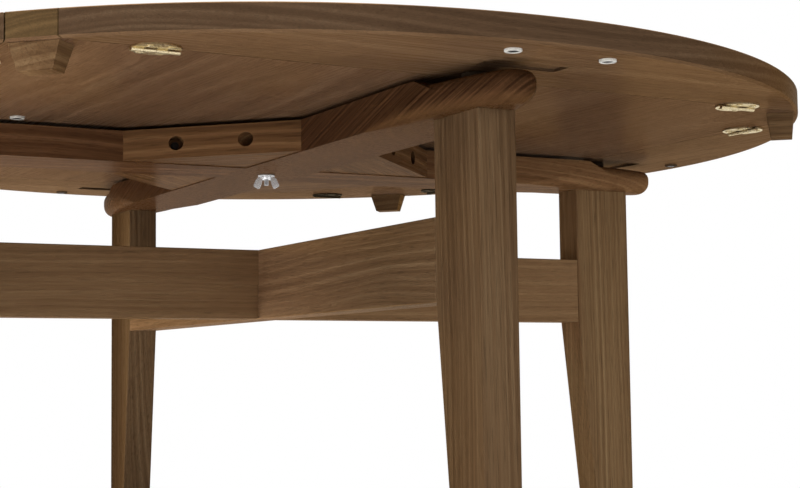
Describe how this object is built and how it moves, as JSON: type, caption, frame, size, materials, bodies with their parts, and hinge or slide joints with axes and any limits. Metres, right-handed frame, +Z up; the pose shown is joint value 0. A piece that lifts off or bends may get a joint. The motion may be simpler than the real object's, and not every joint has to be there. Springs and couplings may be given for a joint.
{
  "type": "drop-leaf table",
  "caption": "Round wooden drop-leaf table: a square panel with hinged segment leaves turns on a bolt over crossed beams, with tapered legs and low cross stretchers.",
  "frame": {"origin": "on the floor, under the middle of the table", "axes": "+Z up, the two cross beams lie along X and Y, the top is turned 2.4 degrees on the frame"},
  "size_m": [1.307, 1.307, 0.742],
  "materials": {
    "beam_wood_x": "oiled walnut",
    "beam_wood_y": "oiled walnut",
    "brace_wood_falling": "oiled walnut",
    "corner_wood_rising": "oiled walnut",
    "brace_wood_rising": "oiled walnut",
    "corner_wood_falling": "oiled walnut",
    "leg_wood_east": "oiled walnut",
    "leaf_wood_east": "oiled walnut",
    "leg_wood_north": "oiled walnut",
    "leaf_wood_north": "oiled walnut",
    "leg_wood_west": "oiled walnut",
    "leaf_wood_west": "oiled walnut",
    "leg_wood_south": "oiled walnut",
    "leaf_wood_south": "oiled walnut",
    "stretcher_wood_x": "oiled walnut",
    "stretcher_wood_y": "oiled walnut",
    "panel_wood": "oiled walnut",
    "hinge_brass": "satin",
    "screw_brass": "satin",
    "pin_brass": "satin",
    "pad_plastic": "satin",
    "support_felt": "pressed felt",
    "glide_plastic": "matte",
    "screw_steel": "satin",
    "washer_steel": "bright",
    "plate_steel": "satin",
    "bolt_steel": "bright",
    "nut_zinc": "bright zinc"
  },
  "bodies": {
    "base": {"cross_beam_upper": "beam_wood_x", "cross_beam_lower": "beam_wood_y", "brace_block_ne": "brace_wood_falling", "brace_block_nw": "brace_wood_rising", "brace_block_sw": "brace_wood_falling", "brace_block_se": "brace_wood_rising", "brace_screws": "screw_steel", "leg_east": "leg_wood_east", "leg_north": "leg_wood_north", "leg_west": "leg_wood_west", "leg_south": "leg_wood_south", "stretcher_upper": "stretcher_wood_x", "stretcher_lower": "stretcher_wood_y", "foot_glides": "glide_plastic", "support_pads": "support_felt"},
    "top": {"top_panel": "panel_wood", "corner_block_ne": "corner_wood_rising", "corner_block_nw": "corner_wood_falling", "corner_block_sw": "corner_wood_rising", "corner_block_se": "corner_wood_falling", "pivot_plate": "plate_steel", "pivot_plate_screws": "screw_steel", "pivot_bolt": "bolt_steel", "pivot_washer": "washer_steel", "hinge_plates_panel_east": "hinge_brass", "hinge_plates_panel_north": "hinge_brass", "hinge_plates_panel_west": "hinge_brass", "hinge_plates_panel_south": "hinge_brass", "hinge_pins": "pin_brass", "hinge_screws_panel": "screw_brass", "glide_pads": "pad_plastic", "glide_pad_screws": "screw_steel"},
    "wing_nut": {"wing_nut": "nut_zinc"},
    "leaf_east": {"leaf_east": "leaf_wood_east", "hinge_plates_leaf_east": "hinge_brass", "hinge_screws_leaf_east": "screw_brass", "leaf_pads_east": "pad_plastic", "leaf_pad_screws_east": "screw_steel"},
    "leaf_north": {"leaf_north": "leaf_wood_north", "hinge_plates_leaf_north": "hinge_brass", "hinge_screws_leaf_north": "screw_brass", "leaf_pads_north": "pad_plastic", "leaf_pad_screws_north": "screw_steel"},
    "leaf_west": {"leaf_west": "leaf_wood_west", "hinge_plates_leaf_west": "hinge_brass", "hinge_screws_leaf_west": "screw_brass", "leaf_pads_west": "pad_plastic", "leaf_pad_screws_west": "screw_steel"},
    "leaf_south": {"leaf_south": "leaf_wood_south", "hinge_plates_leaf_south": "hinge_brass", "hinge_screws_leaf_south": "screw_brass", "leaf_pads_south": "pad_plastic", "leaf_pad_screws_south": "screw_steel"}
  },
  "joints": [
    {"name": "top_turn", "type": "hinge", "parent": "base", "child": "top", "pos_m": [0, 0, 0.715], "axis": [0, 0, 1], "range_deg": [-47.4, 42.6]},
    {"name": "wing_nut_spin", "type": "hinge", "parent": "top", "child": "wing_nut", "pos_m": [0, 0, 0.67], "axis": [0, 0, 1], "continuous": true},
    {"name": "leaf_east_hinge", "type": "hinge", "parent": "top", "child": "leaf_east", "pos_m": [0.47958, 0.0201, 0.71225], "axis": [-0.0419, 0.9991, 0], "range_deg": [-2, 0]},
    {"name": "leaf_north_hinge", "type": "hinge", "parent": "top", "child": "leaf_north", "pos_m": [-0.0201, 0.47958, 0.71225], "axis": [-0.9991, -0.0419, 0], "range_deg": [-2, 0]},
    {"name": "leaf_west_hinge", "type": "hinge", "parent": "top", "child": "leaf_west", "pos_m": [-0.47958, -0.0201, 0.71225], "axis": [0.0419, -0.9991, 0], "range_deg": [-2, 0]},
    {"name": "leaf_south_hinge", "type": "hinge", "parent": "top", "child": "leaf_south", "pos_m": [0.0201, -0.47958, 0.71225], "axis": [0.9991, 0.0419, 0], "range_deg": [-2, 0]}
  ]
}
